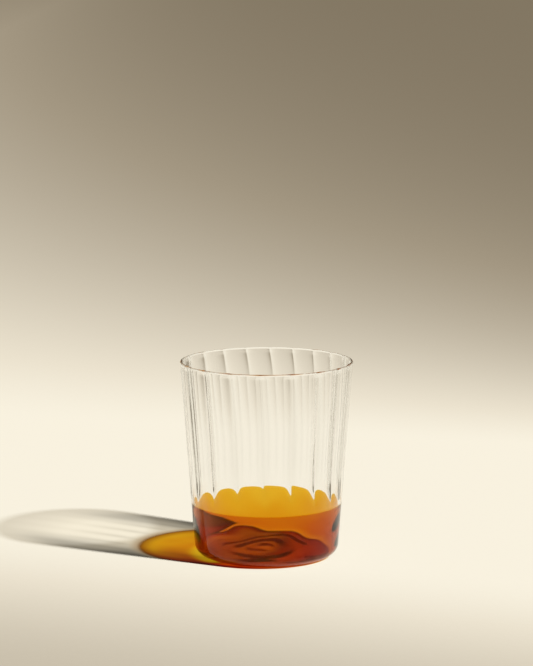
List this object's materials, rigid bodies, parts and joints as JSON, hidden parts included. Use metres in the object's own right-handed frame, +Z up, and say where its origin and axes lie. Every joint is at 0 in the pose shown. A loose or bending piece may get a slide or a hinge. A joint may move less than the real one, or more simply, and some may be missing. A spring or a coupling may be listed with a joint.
{
  "type": "tumbler",
  "caption": "Conical drinking tumbler: a thin clear glass wall, ribbed on its inside, fused to a smooth amber glass cup that forms its base.",
  "frame": {"origin": "middle of the base, on the table plane", "axes": "+Z up along the tumbler's axis, -Y towards the viewer of the picture, +X to their right"},
  "size_m": [0.0792, 0.0792, 0.09],
  "materials": {
    "clear_glass": "clear, fire-polished",
    "amber_glass": "clear amber, fire-polished"
  },
  "bodies": {
    "root": {"clear_wall": "clear_glass", "amber_base": "amber_glass"}
  },
  "joints": []
}
